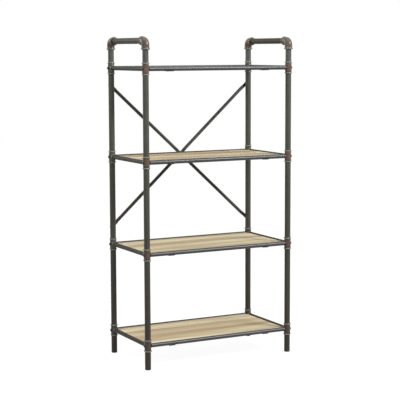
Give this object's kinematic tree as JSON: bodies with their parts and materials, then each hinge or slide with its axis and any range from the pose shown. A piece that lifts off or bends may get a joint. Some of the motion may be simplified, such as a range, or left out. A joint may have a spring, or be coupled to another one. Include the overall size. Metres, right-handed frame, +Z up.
{
  "type": "bookshelf",
  "caption": "Open free-standing bookshelf: round tube posts with elbows and top bars, tube rails, light wood shelf boards and a crossed back brace.",
  "frame": {"origin": "on the floor, under the middle of the outer size in width and depth", "axes": "+X runs along the shelves to the right seen from the front, +Y from the front to the back where the braces are, +Z up"},
  "size_m": [0.792, 0.4315, 1.5259],
  "materials": {
    "post_tube": "satin",
    "rail_tube": "satin",
    "fitting_bronze": "satin",
    "foot_caps": "matte",
    "shelf_wood": "matte"
  },
  "bodies": {
    "root": {"board_tabs": "rail_tube", "brace_falling": "rail_tube", "brace_rising": "rail_tube", "elbows": "fitting_bronze", "feet": "foot_caps", "fittings_back_left": "fitting_bronze", "fittings_back_right": "fitting_bronze", "fittings_front_left": "fitting_bronze", "fittings_front_right": "fitting_bronze", "post_back_left": "post_tube", "post_back_right": "post_tube", "post_front_left": "post_tube", "post_front_right": "post_tube", "tier_1_board": "shelf_wood", "tier_1_long_rail_back": "rail_tube", "tier_1_long_rail_front": "rail_tube", "tier_1_side_rail_left": "rail_tube", "tier_1_side_rail_right": "rail_tube", "tier_2_board": "shelf_wood", "tier_2_long_rail_back": "rail_tube", "tier_2_long_rail_front": "rail_tube", "tier_2_side_rail_left": "rail_tube", "tier_2_side_rail_right": "rail_tube", "tier_3_board": "shelf_wood", "tier_3_long_rail_back": "rail_tube", "tier_3_long_rail_front": "rail_tube", "tier_3_side_rail_left": "rail_tube", "tier_3_side_rail_right": "rail_tube", "tier_4_board": "shelf_wood", "tier_4_long_rail_back": "rail_tube", "tier_4_long_rail_front": "rail_tube", "tier_4_side_rail_left": "rail_tube", "tier_4_side_rail_right": "rail_tube", "top_bar_left": "rail_tube", "top_bar_right": "rail_tube"}
  },
  "joints": []
}
